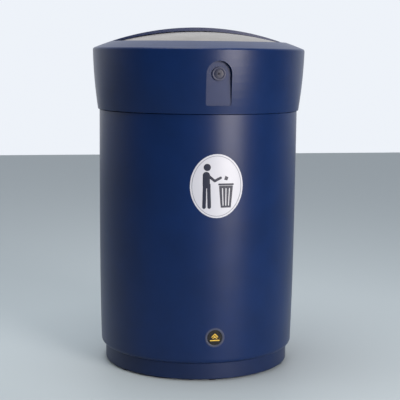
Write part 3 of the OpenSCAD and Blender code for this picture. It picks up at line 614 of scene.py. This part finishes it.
def pictogram():
    """A plain upright figure that drops litter into a slatted basket, from bars, discs and polygons.

    Places and widths are in millimetres from the label's centre.
    """
    person = join(
        disc(-25, 47, 9),
        capsule(-27, 27, -27, 4, 18),
        capsule(-31, 4, -32, -52, 9), capsule(-21, 4, -19, -52, 9),
        capsule(-24, 28, -6, 13, 6.5), capsule(-6, 13, 9, 21, 6.5))
    basket = polygon((10, -54), (36, -54), (41, 1), (5, 1))
    middle, narrowing = 23, 0.78
    gaps = [capsule(x, -6, middle + (x - middle) * narrowing, -48, 2.6) for x in (14, 23, 32)]
    rim = capsule(5, 4.5, 41, 4.5, 4.5)
    litter = polygon((18, 16), (26, 14), (29, 22), (21, 26))
    figure = join(person, without(basket, *gaps), rim, litter)
    bm = bmesh.new()
    print_shape(bm, figure, x_range=(-44, 46), z_range=(-60, 60), step=1.25, place=on_label)
    thicken(make_piece("label_pictogram", bm, print_ink, "body"), PRINT_DEPTH)


oval_ring()
pictogram()


# ---------------------------------------------------------------- badge emblem

def badge_emblem():
    """Raised gilt chevrons over a bar: a plain device that stands for no maker."""
    low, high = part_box("badge_disc")
    cx, cz = 0.5 * (low[0] + high[0]), 0.5 * (low[2] + high[2])
    lift, depth = 0.02 * MM, 0.35 * MM

    def place(x, z):
        return (cx + x * MM, low[1] - lift, cz + z * MM)

    shape = join(
        capsule(-7.0, 2.0, 0, 9.0, 3.2), capsule(0, 9.0, 7.0, 2.0, 3.2),
        capsule(-5.0, -2.2, 0, 2.6, 2.6), capsule(0, 2.6, 5.0, -2.2, 2.6),
        capsule(-11.0, -7.5, 11.0, -7.5, 3.0))
    bm = bmesh.new()
    print_shape(bm, shape, x_range=(-14, 14), z_range=(-12, 12), step=0.5, place=place)
    thicken(make_piece("badge_emblem", bm, badge_gold, "body"), depth)


badge_emblem()


# ---------------------------------------------------------------- camera, floor and light

# Angles are in degrees and lengths in metres, with the lens and its sensor in millimetres
CAMERA_TURN = -10.6         # about the bin's axis; less than 0 is towards the viewer's left
CAMERA_DISTANCE = 2.900     # from the bin's axis
CAMERA_HEIGHT = 0.825
CAMERA_PITCH = 7.70         # down from level
CAMERA_YAW = 0.15           # to the right of the bin's axis
CAMERA_ROLL = 0.60          # anticlockwise
LENS = 96.48
SENSOR = 36.0
FAR_CLIP = 50.0
FLOOR_HALF = 6.0
FLOOR_COLOUR = (0.42, 0.48, 0.51, 1.0)
SKY_COLOUR = (0.90, 0.94, 1.0, 1.0)


def set_camera():
    data = bpy.data.cameras.new("camera")
    data.sensor_width = SENSOR
    data.lens = LENS
    data.clip_end = FAR_CLIP
    cam = bpy.data.objects.new("camera", data)
    bpy.context.scene.collection.objects.link(cam)
    turn = math.radians(CAMERA_TURN)
    place = Vector((CAMERA_DISTANCE * math.sin(turn), -CAMERA_DISTANCE * math.cos(turn), CAMERA_HEIGHT))
    heading = Matrix.Rotation(turn - math.radians(CAMERA_YAW), 4, "Z")
    tilt = Matrix.Rotation(math.radians(90 - CAMERA_PITCH), 4, "X")
    roll = Matrix.Rotation(math.radians(CAMERA_ROLL), 4, "Z")
    cam.matrix_world = Matrix.Translation(place) @ heading @ tilt @ roll
    bpy.context.scene.camera = cam


def set_floor():
    bm = bmesh.new()
    bmesh.ops.create_grid(bm, x_segments=2, y_segments=2, size=FLOOR_HALF)
    mesh = bpy.data.meshes.new("floor")
    bm.to_mesh(mesh)
    bm.free()
    mat, _, _ = new_material("floor", Roughness=0.6, Base_Color=FLOOR_COLOUR)
    mesh.materials.append(mat)
    floor = bpy.data.objects.new("floor", mesh)
    bpy.context.scene.collection.objects.link(floor)


def area_light(name, place, target, size, power, colour, spread=180):
    """A rectangular light at place that faces target; a smaller spread, in degrees, narrows its beam."""
    data = bpy.data.lights.new(name, "AREA")
    data.spread = math.radians(spread)
    data.shape = "RECTANGLE"
    data.size, data.size_y = size
    data.energy = power
    data.color = colour
    lamp = bpy.data.objects.new(name, data)
    bpy.context.scene.collection.objects.link(lamp)
    lamp.location = place
    lamp.rotation_euler = (Vector(target) - Vector(place)).to_track_quat("-Z", "Y").to_euler()


def set_world():
    """Studio surround: bright behind the bin, dimmer on the side its front faces, brighter overhead."""
    world = bpy.data.worlds.new("studio")
    world.use_nodes = True
    tree = world.node_tree
    background = tree.nodes["Background"]
    background.inputs["Color"].default_value = SKY_COLOUR
    direction = add_node(tree, "ShaderNodeTexCoord").outputs["Generated"]
    depth = component(tree, direction, "Y")
    level = component(tree, direction, "Z")
    behind = remap(tree, depth, -0.35, 0.65, 0.12, 0.95, smooth=True)
    overhead = remap(tree, level, 0.30, 0.75, 1.0, 1.2, smooth=True)
    tree.links.new(arithmetic(tree, "MULTIPLY", behind, overhead), background.inputs["Strength"])
    bpy.context.scene.world = world


def set_lights():
    set_world()
    bpy.context.scene.view_settings.view_transform = "Standard"
    area_light("window", place=(1.22, -2.58, 1.05), target=(0, 0, 0.45), size=(1.15, 1.7), power=21,
               colour=(1.0, 0.91, 0.86), spread=80)
    area_light("ceiling", place=(-0.4, -0.3, 3.0), target=(0, 0, 0.4), size=(1.8, 1.8), power=50,
               colour=(1.0, 0.99, 0.97))


set_camera()
set_floor()
set_lights()
